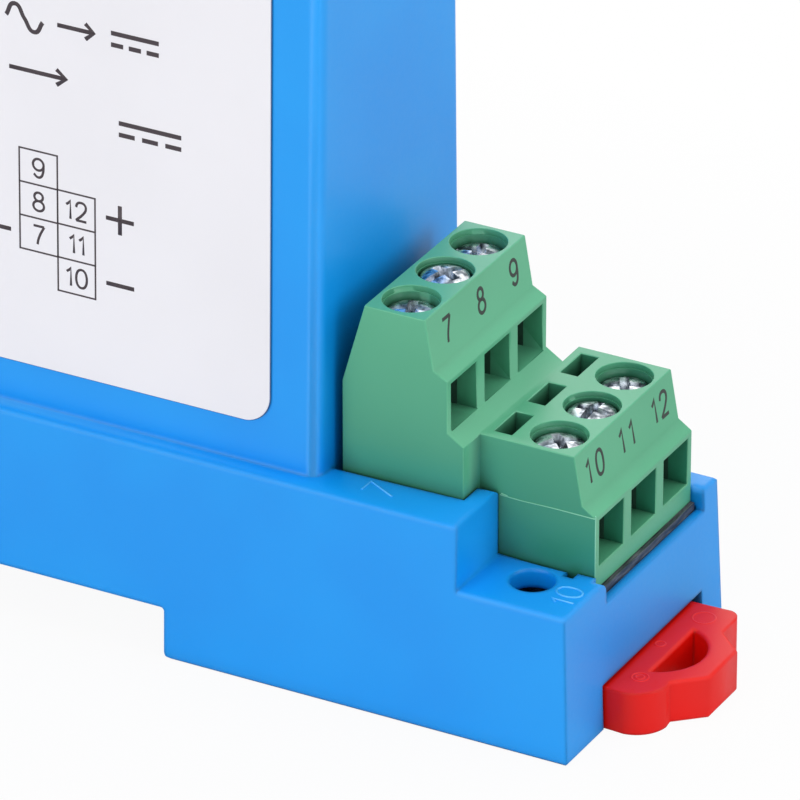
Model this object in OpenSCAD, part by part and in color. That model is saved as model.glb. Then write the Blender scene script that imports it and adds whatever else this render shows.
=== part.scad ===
// Rail-mounted current transmitter: a stepped moulded housing with a two-deck screw terminal
// block at each end, a sliding rail clip, and the boards that it holds.
// Millimetres. The origin is the middle of the rail seat, +X points to the end with the rail
// clip, -Y is the labelled face and +Z points away from the rail.

/* [Rail] */
// Width of the mounting rail
rail_w = 35; // [34.5:0.1:35.5]
// Free length between each rail edge and the recess wall
rail_play = 0.5; // [0.3:0.1:1]
// How far the hook and the clip reach under the rail
rail_grip = 1.3; // [0.9:0.1:2]
// Height left for the rail's flange above the hook and the clip
flange_gap = 1.25; // [1.1:0.05:1.5]

/* [Housing] */
// Length of each foot beside the rail recess
foot_l = 33; // [31:0.5:38]
// Depth of the rail recess
foot_drop = 4.15; // [4:0.05:5]
// Thickness of the housing's side walls
wall = 1.8; // [1.5:0.1:2.2]
// Thickness of the base's end walls
end_wall = 1.1; // [0.9:0.1:1.3]
// Thickness of the ledges
ledge_t = 1.5; // [1.4:0.1:2.2]
// Thickness of the housing's closed top
roof_t = 2; // [1.5:0.1:3]
// Width of the lower ledge beside the terminal block
ledge_strip = 6.3; // [5.9:0.1:8]
// Thickness of the wall on the terminal block's other side
far_wall = 1.96; // [1.9:0.02:2.4]
// Height of the lower ledge above the terminal board
ledge_rise = 1.2; // [0.8:0.1:2]
// Height of the upper ledge above the lower one
ledge_step = 5.15; // [4.5:0.05:6]
// Length of the lower ledge, from the end face to the step
lower_ledge_l = 9.15; // [8.5:0.05:9.2]
// Height of the body above the upper ledge
body_rise = 58.25; // [46:0.25:76]
// Set-back of the body from the base on the labelled side
near_step = 1.55; // [1:0.05:2]
// Set-back of the body from the base on the other side
far_step = 0.25; // [0.2:0.05:0.8]
// Draft of the body's two side faces, in degrees
side_draft = 1.2; // [0.5:0.1:1.4]
// Draft of the base's two end faces, in degrees
end_draft = 2.2; // [0.8:0.1:2.4]
// Draft of the base's two side faces, in degrees
base_draft = 1.5; // [0.5:0.1:1.8]
// Bevel of the base's outer edges
base_edge = 0.2; // [0.1:0.05:0.4]
// Radius of the body's outer edges
body_edge_r = 1; // [0.5:0.1:1.4]
// Depth of the end wall's opening below the lower ledge
sill_drop = 1.8; // [0.9:0.1:1.9]
// Radius of the fixing holes in the ledges
fixing_r = 1.7; // [1.5:0.05:1.75]
// Distance of the fixing holes from the end faces
fixing_x = 5.1; // [4.6:0.1:5.6]
// Distance of the fixing holes from the side face
fixing_y = 3.9; // [3.6:0.05:4]

/* [Label] */
// Margin from the label to the body's upright edges
label_margin = 3.9; // [3:0.1:8]
// Margin from the label to the ledge and to the top
label_margin_z = 3.4; // [3:0.1:8]
// Corner radius of the label
label_r = 2.2; // [1:0.1:4]
// Thickness of the label
label_t = 0.2; // [0.1:0.05:0.3]

/* [Terminal blocks] */
// Distance between neighbouring terminals
pitch = 5.08; // [5:0.04:5.4]
// Terminals in each deck
poles = 3; // [3:1:3]
// Depth of the upper deck, from the back to the lower deck
deck_depth = 9.82; // [9.7:0.02:10.2]
// Depth of the lower deck
lower_depth = 9.29; // [9.2:0.02:9.6]
// Height of the upper deck above the board
upper_h = 19.87; // [19.5:0.1:22]
// Height of the lower deck above the board
lower_h = 10.45; // [10.3:0.05:11]
// Radius of the screw wells
well_r = 2.12; // [2.05:0.01:2.2]
// Width of each wire entry
entry_w = 3.86; // [3.7:0.02:4]
// Height of each wire entry
entry_h = 3.75; // [3.7:0.05:3.9]
// Depth of the lowest screw heads below the deck
screw_sink = 0.95; // [0.8:0.05:1.4]
// Radius of the terminal screws' heads
screw_head_r = 1.85; // [1.6:0.05:1.95]
// Radius of the terminal screws' threads
screw_r = 1.25; // [1:0.05:1.3]

/* [Boards] */
// Thickness of the boards
board_t = 1.6; // [1.2:0.1:2]
// Free height between the bottom cover and the terminal board
board_gap = 3; // [2.8:0.1:4]
// Thickness of the bottom cover
cover_t = 1.8; // [1.5:0.1:2.2]
// Height of the upright signal board
signal_h = 52; // [44:0.5:52]
// Distance of the signal board from the housing's middle plane
signal_y = 5.4; // [5:0.1:5.6]

/* [Rail clip] */
// Thickness of the clip
clip_t = 3.4; // [3.3:0.05:3.6]
// Width of the clip's head
clip_w = 14.4; // [13.8:0.1:14.6]
// Reach of the head past the end face
clip_reach = 5.8; // [5.5:0.1:7]
// Offset of the clip from the housing's middle plane
clip_y = 0.9; // [0.7:0.05:1]
// Travel of the clip
clip_travel = 3; // [2.2:0.1:3]
// Radius of the screwdriver hole's round side
grip_r = 3.6; // [3.3:0.1:3.7]

/* [Hidden] */
$fn = 48;

// Clearances: parts that lie face to face share a plane, and these are the gaps beside them.
fit = 0.15;
slide_fit = 0.2;
cut = 0.5;

// Lengths along the housing
recess_half = rail_w / 2 + rail_play;
base_half = recess_half + foot_l;
block_gap = 0.66;
block_margin = 1.43;
block_l = deck_depth + lower_depth;
ledge_l = block_gap + block_l + block_margin;
body_half = base_half - ledge_l;
step_half = base_half - lower_ledge_l;
block_back = body_half + block_gap;
block_front = block_back + block_l;
board_half = base_half - end_wall - 0.05;

// Widths across the housing
block_w = poles * pitch;
stagger = pitch / 2;
base_w = ledge_strip + 2 * fit + block_w + far_wall;
base_y0 = -base_w / 2;
base_y1 = base_w / 2;
body_y0 = base_y0 + near_step;
body_y1 = base_y1 - far_step;
inner_y = base_w / 2 - wall;
lower_y = base_y0 + ledge_strip + fit + block_w / 2;
upper_y = lower_y - stagger;

// Heights above the rail seat
board_z0 = cover_t + board_gap;
board_z1 = board_z0 + board_t;
lower_ledge_z = board_z1 + ledge_rise;
upper_ledge_z = lower_ledge_z + ledge_step;
body_top = upper_ledge_z + body_rise;
ceiling_z = upper_ledge_z - ledge_t;
sill_z = lower_ledge_z - sill_drop;

// The posts that hold the boards and the cover
post_x = 15;
post_r = 1.9;
post_y0 = base_y0 + wall + post_r;
post_y1 = base_y1 - wall - post_r;
cover_screw_r = 1;
cover_head_r = 1.8;
cover_head_t = 0.8;
foot_rib_y = 6;
foot_rib_h = 2.5;
pad_x = 2 * recess_half;
pad_y = 7.5;
pad_r = 1.2;

// The rail clip and its channel
clip_z0 = -foot_drop + 0.05;
clip_z1 = clip_z0 + clip_t;
stem_half = clip_w / 2 - 1;
flange_t = 1.5;
tongue_half = 4.5;
boss_r = 2.3;
boss_x0 = base_half - fixing_x - boss_r - fit;
stem_x0 = recess_half + 2.4;
head_x0 = base_half - 1.6;
flange_x0 = stem_x0;
flange_x1 = base_half - fixing_x - boss_r - clip_travel - 0.8;
window_x0 = stem_x0 + 5.5;
window_x1 = window_x0 + 10.5;
spring_peg_x = window_x1 - 2.5 - slide_fit;
peg_l = 2.5;
window_half = 2.5;

blue = [0.11, 0.53, 0.92];
green = [0.31, 0.65, 0.47];
red = [0.83, 0.1, 0.09];
steel = [0.75, 0.77, 0.8];
board_green = [0.08, 0.2, 0.16];
black = [0.09, 0.09, 0.1];

// A rectangle from corner a to corner b with round corners
module round_rect(a, b, r) {
    translate([a[0] + r, a[1]]) square([b[0] - a[0] - 2 * r, b[1] - a[1]]);
    translate([a[0], a[1] + r]) square([b[0] - a[0], b[1] - a[1] - 2 * r]);
    for (x = [a[0] + r, b[0] - r])
        for (y = [a[1] + r, b[1] - r])
            translate([x, y]) circle(r = r);
}

// A box between two corners
module block(a, b) {
    translate(a) cube(b - a);
}

// A box between two corners with every outer edge rounded
module soft_block(a, b, r) {
    intersection() {
        translate([0, 0, a[2]]) linear_extrude(b[2] - a[2])
            round_rect([a[0], a[1]], [b[0], b[1]], r);
        translate([0, b[1], 0]) rotate([90, 0, 0]) linear_extrude(b[1] - a[1])
            round_rect([a[0], a[2]], [b[0], b[2]], r);
        translate([a[0], 0, 0]) rotate([90, 0, 90]) linear_extrude(b[0] - a[0])
            round_rect([a[1], a[2]], [b[1], b[2]], r);
    }
}

// What a concave quarter-round takes off an edge that runs along +X from the origin
module edge_cutter(length, r) {
    difference() {
        translate([0, -r, -r]) cube([length, r + cut, r + cut]);
        translate([-cut, -r, -r]) rotate([0, 90, 0]) cylinder(h = length + 2 * cut, r = r);
    }
}

// Repeats a child at the right end and, turned half round, at the left end
module both_ends() {
    children();
    rotate([0, 0, 180]) children();
}

// Housing

// What draft and round edges take off a flat side: the face is the plane y = 0 at z = 0 and
// leans back over the height h, from a little below to the top, over the length -half to half
// along x. The top edge's arc starts a little outside the leaning face, so that the two cross.
module draft_cutter(half, h, below, draft, r) {
    arc_out = 0.04;
    outside = 3;
    rotate([-draft, 0, 0]) translate([0, 0, -below]) linear_extrude(h + below + cut)
        difference() {
            translate([-half - cut, -outside]) square([2 * half + 2 * cut, outside + r]);
            translate([r - half, 0]) square([2 * (half - r), r + cut]);
            for (x = [r - half, half - r])
                translate([x, r]) circle(r = r);
        }
    translate([-half - cut, h * tan(draft) - arc_out, h]) mirror([0, 1, 0])
        edge_cutter(2 * half + 2 * cut, r);
}

module housing_body() {
    h = body_top - upper_ledge_z;
    below = ledge_t + 2 * cut;
    spare = 0.2;
    difference() {
        translate([0, body_y1 + spare, 0]) rotate([90, 0, 0])
            linear_extrude(body_y1 - body_y0 + 2 * spare)
                round_rect([-body_half, ceiling_z - cut], [body_half, body_top], body_edge_r);
        translate([0, body_y0, upper_ledge_z])
            draft_cutter(body_half, h, below, side_draft, body_edge_r);
        translate([0, body_y1, upper_ledge_z]) rotate([0, 0, 180])
            draft_cutter(body_half, h, below, side_draft, body_edge_r);
    }
}

// The base's outline across its length: the sides lean outwards down to the feet
module base_section() {
    lean = (upper_ledge_z + foot_drop) * tan(base_draft);
    polygon([
        [base_y0 - lean + base_edge, -foot_drop], [base_y1 + lean - base_edge, -foot_drop],
        [base_y1 + lean, base_edge - foot_drop], [base_y1, upper_ledge_z],
        [base_y0 + base_edge, upper_ledge_z], [base_y0, upper_ledge_z - base_edge],
        [base_y0 - lean, base_edge - foot_drop]
    ]);
}

// The base's outline along its length, with both ledges and the leaning end faces
module base_outline() {
    end_x = base_half - (foot_drop + lower_ledge_z) * tan(end_draft);
    right = [
        [base_half - base_edge, -foot_drop], [base_half, base_edge - foot_drop],
        [end_x, lower_ledge_z - base_edge], [end_x - base_edge, lower_ledge_z],
        [step_half, lower_ledge_z], [step_half, upper_ledge_z - base_edge],
        [step_half - base_edge, upper_ledge_z]
    ];
    left = [for (i = [len(right) - 1:-1:0]) [-right[i][0], right[i][1]]];
    polygon(concat(right, left));
}

// What the bevels take off the lower ledge's two long edges
module ledge_bevels() {
    side_y = base_w / 2 + ledge_step * tan(base_draft);
    for (side = [0, 1])
        mirror([0, side, 0]) translate([step_half, 0, lower_ledge_z]) rotate([90, 0, 90])
            linear_extrude(lower_ledge_l + cut)
                polygon([
                    [side_y - base_edge - cut, cut], [side_y + cut, -base_edge - cut],
                    [side_y + cut, cut]
                ]);
}

module housing_base() {
    difference() {
        intersection() {
            translate([-base_half - cut, 0, 0]) rotate([90, 0, 90])
                linear_extrude(2 * (base_half + cut)) base_section();
            translate([0, base_w, 0]) rotate([90, 0, 0]) linear_extrude(2 * base_w) base_outline();
        }
        both_ends() ledge_bevels();
    }
}

module housing_solid() {
    housing_base();
    housing_body();
}

module housing_hollow() {
    inner_half = base_half - end_wall;
    block([-inner_half, -inner_y, -foot_drop - cut], [inner_half, inner_y, lower_ledge_z - ledge_t]);
    block([wall - step_half, -inner_y, 0], [step_half - wall, inner_y, ceiling_z]);
    roof_z = body_top - roof_t;
    lean = (roof_z - upper_ledge_z) * tan(side_draft);
    translate([wall - body_half, 0, 0]) rotate([90, 0, 90]) linear_extrude(2 * (body_half - wall))
        polygon([
            [body_y0 + wall, 0], [body_y1 - wall, 0], [body_y1 - wall, upper_ledge_z],
            [body_y1 - wall - lean, roof_z], [body_y0 + wall + lean, roof_z],
            [body_y0 + wall, upper_ledge_z]
        ]);
}

// The opening that lets the rail in, as a notch through both side walls
module rail_notch() {
    recess_r = 0.3;
    foot_r = 0.6;
    translate([0, base_w, 0]) rotate([90, 0, 0]) linear_extrude(2 * base_w) {
        round_rect([-recess_half, -foot_drop - 2 * recess_r], [recess_half, 0], recess_r);
        for (side = [-1, 1])
            difference() {
                translate([side * (recess_half + foot_r / 2 - 0.05), -foot_drop + foot_r / 2 - 0.05])
                    square([foot_r + 0.1, foot_r + 0.1], center = true);
                translate([side * (recess_half + foot_r), -foot_drop + foot_r]) circle(r = foot_r);
            }
    }
}

// The openings round a terminal block, cut through both ledges and the end wall
module block_opening() {
    y0 = lower_y - block_w / 2 - fit;
    y1 = lower_y + block_w / 2 + fit;
    back_y0 = upper_y - block_w / 2 - fit;
    back_y1 = upper_y + block_w / 2 + fit;
    lower_back = block_back + deck_depth - fit;
    inner_half = base_half - end_wall;
    corner_r = 0.9;
    shoulder_r = 0.6;
    notch_x = base_half - 3.55;
    notch_w = 0.85;
    notch_d = 0.8;
    block([body_half, back_y0, board_z1], [lower_back + 2 * fit, back_y1, upper_ledge_z + cut]);
    block([lower_back, y0, board_z0], [inner_half, y1, upper_ledge_z + cut]);
    block([step_half - wall - cut, y0, board_z0], [lower_back + cut, y1, board_z1]);
    block([inner_half - cut, y0, sill_z], [base_half + cut, y1, upper_ledge_z + cut]);
    translate([step_half - 2, y0, upper_ledge_z]) edge_cutter(2 + cut, shoulder_r);
    translate([block_front + fit, y0, lower_ledge_z]) edge_cutter(block_margin + cut, corner_r);
    translate([base_half + cut, y1, lower_ledge_z]) rotate([0, 0, 180])
        edge_cutter(block_margin + cut, corner_r / 2);
    block([notch_x, y0 - notch_d, board_z0], [notch_x + notch_w, y0 + cut, lower_ledge_z + cut]);
}

// A tube in the foot, joined to the side wall, for a fixing screw
module fixing_boss() {
    x = base_half - fixing_x;
    y = base_y0 + fixing_y;
    z0 = -foot_drop;
    h = foot_drop + board_gap;
    translate([x, y, z0]) cylinder(h = h, r = boss_r);
    block([x - boss_r, base_y0 + 0.8, z0 + 0.4], [x + boss_r, y, z0 + h]);
}

module fixing_bore() {
    translate([base_half - fixing_x, base_y0 + fixing_y, -foot_drop - cut])
        cylinder(h = foot_drop + lower_ledge_z + 2 * cut, r = fixing_r);
}

// A post on a side wall that the terminal board is screwed against
module board_post() {
    h = ceiling_z - board_z1 + cut;
    translate([0, 0, board_z1]) {
        cylinder(h = h, r = post_r);
        block([-post_r, -post_r - 0.6, 0], [post_r, 0, h]);
    }
}

// A pair of upright ribs on the end walls that hold the signal board's edge
module board_rails() {
    rib = 1.2;
    reach = 2;
    z0 = upper_ledge_z + 3;
    z1 = board_z1 + signal_h + 1;
    for (y = [-signal_y - fit - rib, -signal_y + board_t + fit])
        block([body_half - wall - reach, y, z0], [body_half - wall + 0.2, y + rib, z1]);
}

module housing() {
    slot_y0 = clip_y - clip_w / 2 - 0.3;
    slot_y1 = clip_y + clip_w / 2 + 1.1;
    color(blue)
    difference() {
        union() {
            difference() {
                housing_solid();
                housing_hollow();
                rail_notch();
                both_ends() block_opening();
                block(
                    [base_half - end_wall - cut, slot_y0, -foot_drop - cut],
                    [base_half + cut, slot_y1, clip_z1 + 0.3]
                );
            }
            both_ends() fixing_boss();
            for (x = [-post_x, post_x]) {
                translate([x, post_y0, 0]) board_post();
                translate([x, post_y1, 0]) rotate([0, 0, 180]) board_post();
            }
            board_rails();
            mirror([1, 0, 0]) board_rails();
        }
        both_ends() fixing_bore();
        for (x = [-post_x, post_x])
            for (y = [post_y0, post_y1])
                translate([x, y, board_z1 - cut]) cylinder(h = cut + 5, r = cover_screw_r + 0.05);
    }
}

// Bottom cover: rail seat, recess walls, fixed hook and the clip's channel

module cover_plate() {
    half_x = base_half - end_wall - fit;
    half_y = inner_y - fit;
    boss_y = base_y0 + fixing_y + boss_r + fit;
    difference() {
        block([-half_x, -half_y, 0], [half_x, half_y, cover_t]);
        both_ends() block([boss_x0, base_y0, -cut], [base_half, boss_y, cover_t + cut]);
    }
}

module clip_rails() {
    y0 = clip_y - clip_w / 2 - slide_fit;
    y1 = clip_y + clip_w / 2 + slide_fit;
    rail_t = 1.1;
    step = clip_w / 2 - stem_half;
    near_y0 = y0 - rail_t;
    difference() {
        union() {
            block([recess_half, near_y0, -foot_drop], [boss_x0, y0 + step, 0]);
            block([recess_half, y1 - step, -foot_drop], [boss_x0, y1 + rail_t, 0]);
        }
        block(
            [recess_half + cover_t, y0, clip_z1 - flange_t - slide_fit],
            [boss_x0 - 0.4, y1, clip_z1 + slide_fit]
        );
    }
}

module recess_wall() {
    block([recess_half, -inner_y + fit, -foot_drop], [recess_half + cover_t, inner_y - fit, 0]);
}

module bottom_cover() {
    color(blue)
    difference() {
        union() {
            cover_plate();
            recess_wall();
            mirror([1, 0, 0]) recess_wall();
            clip_rails();
            mirror([1, 0, 0]) difference() {
                block(
                    [rail_w / 2 - rail_grip, -tongue_half, -foot_drop],
                    [recess_half + cut, tongue_half, -flange_gap]
                );
                translate([rail_w / 2 - rail_grip, 0, -foot_drop]) rotate([0, 45, 0])
                    cube([1.6, 4 * tongue_half, 1.6], center = true);
            }
            for (y = [-foot_rib_y, foot_rib_y])
                block([-boss_x0, y - 0.6, -foot_rib_h], [-recess_half, y + 0.6, 0]);
            for (x = [-post_x, post_x])
                for (y = [post_y0, post_y1])
                    translate([x, y, 0]) cylinder(h = board_z0, r = post_r);
            for (x = [-pad_x, pad_x])
                for (y = [-pad_y, pad_y])
                    translate([x, y, 0]) cylinder(h = board_z0, r = pad_r);
            block(
                [spring_peg_x, clip_y - window_half + 0.5, clip_z0 + 0.4],
                [spring_peg_x + peg_l, clip_y + window_half - 0.5, 0]
            );
        }
        block(
            [recess_half - cut, clip_y - tongue_half - slide_fit, -foot_drop - cut],
            [recess_half + cover_t + cut, clip_y + tongue_half + slide_fit, slide_fit - flange_gap]
        );
        for (x = [-post_x, post_x])
            for (y = [post_y0, post_y1])
                translate([x, y, -cut]) {
                    cylinder(h = board_z0 + 2 * cut, r = cover_screw_r + 0.1);
                    cylinder(h = cut + cover_head_t + 0.2, r = cover_head_r + 0.15);
                }
    }
}

// Self-tapping screws that hold the cover and the terminal board against the posts
module cover_screws() {
    color(steel)
    for (x = [-post_x, post_x])
        for (y = [post_y0, post_y1])
            translate([x, y, 0.2]) difference() {
                union() {
                    cylinder(h = cover_head_t, r = cover_head_r);
                    cylinder(h = board_z1 + 4 - 0.2, r = cover_screw_r);
                }
                for (turn = [0, 90])
                    rotate([0, 0, turn]) cube([2.2, 0.5, 0.9], center = true);
            }
}

module label_plate() {
    color([0.93, 0.93, 0.94])
    translate([0, body_y0, upper_ledge_z]) rotate([90 - side_draft, 0, 0])
        linear_extrude(label_t)
            round_rect(
                [label_margin - body_half, label_margin_z],
                [body_half - label_margin, body_rise - label_margin_z],
                label_r
            );
}

// Terminal blocks. Local x runs from the back to the front, z is up from the board, and y is
// zero in the middle of the upper deck.

upper_screw_x = 4.26;
upper_front = 8.51;
lower_screw_x = deck_depth + 5.04;
upper_entry_z = upper_h - 8.65;
lower_entry_z = lower_h - 8.73;
chamber_back = 2.1;
probe_x = deck_depth + 0.67;
probe_l = 1.4;
pin_r = 0.5;
rim_t = 0.45;
rim_step = 0.12;

// Depth of each screw head from the labelled side, as a share of the lowest one's
upper_turns = [1, 0.45, 1];
lower_turns = [0.8, 0.6, 1];

module upper_profile() {
    polygon([
        [0, 0], [0, upper_h - 6.41], [1.83, upper_h], [6.71, upper_h], [7.38, upper_h - 3.87],
        [upper_front, upper_h - 4.48], [upper_front, upper_entry_z + 0.06],
        [deck_depth, lower_h], [deck_depth, 0]
    ]);
}

module lower_profile() {
    polygon([
        [deck_depth, 0], [deck_depth, lower_h], [block_l - 1.77, lower_h],
        [block_l - 1.09, lower_h - 3.82], [block_l, lower_h - 4.56], [block_l, 0]
    ]);
}

module deck(width) {
    translate([0, width / 2, 0]) rotate([90, 0, 0]) linear_extrude(width) children();
}

// Repeats a child at each terminal of a deck, and tells it the terminal's number
module each_pole() {
    for ($pole = [0:poles - 1])
        translate([0, ($pole - (poles - 1) / 2) * pitch, 0]) children();
}

// The well with its wider rim, the chamber and the wire entry of one terminal
module pole_hollow(screw_x, front, entry_z, top) {
    half = entry_w / 2;
    block(
        [screw_x - chamber_back, -half, entry_z],
        [front + cut, half, entry_z + entry_h]
    );
    translate([screw_x, 0, entry_z]) cylinder(h = top - entry_z + cut, r = well_r - rim_step);
    translate([screw_x, 0, top - rim_t]) cylinder(h = rim_t + cut, r = well_r);
    translate([screw_x, 0, -cut]) cylinder(h = entry_z + 2 * cut, r = pin_r + 0.05);
}

module terminal_block() {
    color(green)
    difference() {
        union() {
            deck(block_w) upper_profile();
            translate([0, stagger, 0]) deck(block_w) lower_profile();
            block(
                [deck_depth - 1, stagger - block_w / 2, 0],
                [deck_depth + 1, block_w / 2, lower_h]
            );
        }
        each_pole() pole_hollow(upper_screw_x, upper_front, upper_entry_z, upper_h);
        translate([0, stagger, 0]) each_pole() {
            pole_hollow(lower_screw_x, block_l, lower_entry_z, lower_h);
            block([probe_x, -1.65, lower_h - 5], [probe_x + probe_l, 1.65, lower_h + cut]);
        }
    }
}

// Places a child in the frame of the right-hand terminal block
module at_block() {
    translate([block_back, upper_y, board_z1]) children();
}

module at_left() {
    rotate([0, 0, 180]) at_block() children();
}

// A screw with a combined cross and slot recess
module terminal_screw(top, entry_z, turns) {
    head_t = 1.6;
    sink = screw_sink * turns;
    tip = entry_z + 1.2 + screw_sink - sink;
    difference() {
        union() {
            translate([0, 0, top - sink - head_t]) cylinder(h = head_t, r = screw_head_r);
            translate([0, 0, tip]) cylinder(h = top - sink - tip, r = screw_r);
        }
        translate([0, 0, top - sink]) {
            cube([2 * screw_head_r + cut, 0.55, 1.1], center = true);
            cube([0.55, 2.4, 1.4], center = true);
        }
    }
}

module upper_screws() {
    color(steel)
    each_pole() translate([upper_screw_x, 0, 0])
        terminal_screw(upper_h, upper_entry_z, upper_turns[$pole]);
}

module lower_screws() {
    color(steel)
    translate([0, stagger, 0]) each_pole() translate([lower_screw_x, 0, 0])
        terminal_screw(lower_h, lower_entry_z, lower_turns[$pole]);
}

// A square cage that the screw pulls up on the wire
module clamp(entry_z) {
    cage_w = entry_w - 0.3;
    cage_x = 3.4;
    cage_h = entry_h - 0.3;
    difference() {
        translate([0, 0, entry_z + 0.1 + cage_h / 2])
            cube([cage_x, cage_w, cage_h], center = true);
        translate([0, 0, entry_z + 0.6 + 0.9])
            cube([cage_x + cut, cage_w - 1, 1.8], center = true);
        translate([0, 0, entry_z + 0.5]) cylinder(h = entry_h, r = screw_r + 0.05);
        translate([0, 0, entry_z - cut]) cylinder(h = 2 * cut + 0.3, r = pin_r + 0.15);
    }
}

module upper_clamps() {
    color(steel)
    each_pole() translate([upper_screw_x, 0, 0]) clamp(upper_entry_z);
}

module lower_clamps() {
    color(steel)
    translate([0, stagger, 0]) each_pole()
        translate([lower_screw_x, 0, 0]) clamp(lower_entry_z);
}

// A pin with a flat contact tongue inside the cage
module contact_pin(entry_z) {
    tail = board_t + 1.4;
    translate([0, 0, -tail]) cylinder(h = tail + entry_z + 0.7, r = pin_r);
    translate([0, 0, entry_z + 0.85]) cube([3.2, 2.2, 0.4], center = true);
}

module contact_pins() {
    color(steel) {
        each_pole() translate([upper_screw_x, 0, 0]) contact_pin(upper_entry_z);
        translate([0, stagger, 0]) each_pole()
            translate([lower_screw_x, 0, 0]) contact_pin(lower_entry_z);
    }
}

// Boards

module pin_holes() {
    both_ends() at_block() {
        each_pole() translate([upper_screw_x, 0, -board_t - cut])
            cylinder(h = board_t + 2 * cut, r = pin_r + 0.05);
        translate([0, stagger, 0]) each_pole() translate([lower_screw_x, 0, -board_t - cut])
            cylinder(h = board_t + 2 * cut, r = pin_r + 0.05);
    }
}

module terminal_board() {
    wide_half = step_half - wall - fit;
    color(board_green)
    difference() {
        union() {
            block([-wide_half, -inner_y + fit, board_z0], [wide_half, inner_y - fit, board_z1]);
            both_ends() block(
                [0, lower_y - block_w / 2, board_z0],
                [board_half, lower_y + block_w / 2, board_z1]
            );
        }
        pin_holes();
        for (x = [-post_x, post_x])
            for (y = [post_y0, post_y1])
                translate([x, y, board_z0 - cut])
                    cylinder(h = board_t + 2 * cut, r = cover_screw_r + 0.2);
    }
}

signal_half = body_half - wall - fit;
signal_z1 = board_z1 + signal_h;
face_y = -signal_y + board_t;

module signal_board() {
    color(board_green)
    difference() {
        block([-signal_half, -signal_y, board_z1], [signal_half, face_y, signal_z1]);
        for (x = [-signal_half, signal_half])
            for (z = [board_z1, signal_z1])
                translate([x, 0, z]) rotate([0, 45, 0]) cube([2, 4 * base_w, 2], center = true);
    }
}

// A right-angled strip that joins the two boards
module board_header() {
    pins = 10;
    header_pitch = pitch / 2;
    header_half = pins * header_pitch / 2;
    pin_half = 0.3;
    pin_y = face_y + header_w / 2;
    pin_z = board_z1 + header_w;
    color(black)
    block([-header_half, face_y, board_z1], [header_half, face_y + header_w, pin_z]);
    color(steel)
    for (i = [0:pins - 1]) {
        x = (i + 0.5) * header_pitch - header_half;
        block([x - pin_half, pin_y - pin_half, pin_z], [x + pin_half, pin_y + pin_half, pin_z + 1.5]);
    }
}

// The components stand in rows above the header: transformer and converter, then capacitors
// and coupler, and the trimmers and resistors hang from the board's top edge
header_w = 2.5;
row_gap = 0.6;
edge_gap = 4;
chip_gap = 2;
top_gap = 1;
transformer = [18, 10.5, 17];
coupler = [15, 10, 12];
converter = [14, 8, 10];
chip = [5, 1.7, 4];
trimmer = [4.8, 9.5, 6];
can_r = 3;
can_l = 11;
resistor_r = 1.2;
resistor_l = 6;
row1_z = board_z1 + header_w + 4.5;
row2_z = row1_z + transformer[2] + row_gap;
left_x = edge_gap - signal_half;
right_x = signal_half - edge_gap;

module input_transformer() {
    color(black)
    translate([left_x, face_y, row1_z]) difference() {
        soft_block([0, 0, 0], transformer, 0.6);
        translate([transformer[0] / 2, transformer[1] - 0.4, transformer[2] / 2])
            rotate([-90, 0, 0]) cylinder(h = cut + 0.4, r = 5.5);
    }
}

module isolation_transformer() {
    slot_w = 1.6;
    slot_y = 3.5;
    color([0.16, 0.15, 0.15])
    translate([right_x - coupler[0], face_y, row2_z]) difference() {
        block([0, 0, 0], coupler);
        for (x = [coupler[0] / 3 - slot_w / 2, 2 * coupler[0] / 3 - slot_w / 2])
            block([x, slot_y, -cut], [x + slot_w, coupler[1] + cut, coupler[2] + cut]);
    }
}

module power_converter() {
    color(black)
    translate([right_x - converter[0], face_y, row1_z]) soft_block([0, 0, 0], converter, 0.4);
}

module filter_capacitors() {
    color([0.15, 0.18, 0.3])
    for (i = [0, 1])
        translate([left_x + can_r + i * (2 * can_r + chip_gap), face_y + can_r, row2_z]) {
            cylinder(h = can_l, r = can_r);
            block([-can_r / 3, -can_r, 1], [can_r / 3, 0, can_l - 1]);
        }
}

module signal_chips() {
    x = left_x + transformer[0] + chip_gap;
    chip_step = 2 * chip[2];
    color(black)
    for (z = [row1_z, row1_z + chip_step, row2_z, row2_z + chip_step])
        translate([x, face_y, z]) block([0, 0, 0], chip);
}

module calibration_trimmers() {
    color([0.13, 0.3, 0.68])
    for (i = [0, 1])
        translate([left_x + 2 * trimmer[0] * i, face_y, signal_z1 - trimmer[2] - top_gap])
            difference() {
                block([0, 0, 0], trimmer);
                translate([trimmer[0] / 2, trimmer[1] - 2, trimmer[2] - 0.4])
                    cylinder(h = 1, r = 1.1);
            }
}

module input_resistors() {
    color([0.55, 0.62, 0.7])
    for (i = [0:3])
        translate([
            right_x - 3 * resistor_r * i, face_y + resistor_r, signal_z1 - resistor_l - top_gap
        ])
            cylinder(h = resistor_l, r = resistor_r);
}

// Rail clip

module clip_head_profile() {
    half = clip_w / 2;
    lobe = clip_reach - 2.1;
    nose = clip_w * 0.155;
    waist = clip_w * 0.29;
    near_r = 2.6;
    far_r = 1;
    difference() {
        union() {
            polygon([
                [0, -half], [lobe - near_r, -half], [lobe - near_r, -half + near_r],
                [lobe, -half + near_r], [lobe, -waist], [clip_reach, -nose], [clip_reach, nose],
                [lobe, waist], [lobe, half - far_r], [lobe - far_r, half - far_r],
                [lobe - far_r, half], [0, half]
            ]);
            translate([lobe - near_r, -half + near_r]) circle(r = near_r);
            translate([lobe - far_r, half - far_r]) circle(r = far_r);
        }
        intersection() {
            translate([0.5, 0]) circle(r = grip_r);
            translate([1.7, -half]) square([clip_reach, clip_w]);
        }
    }
}

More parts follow.
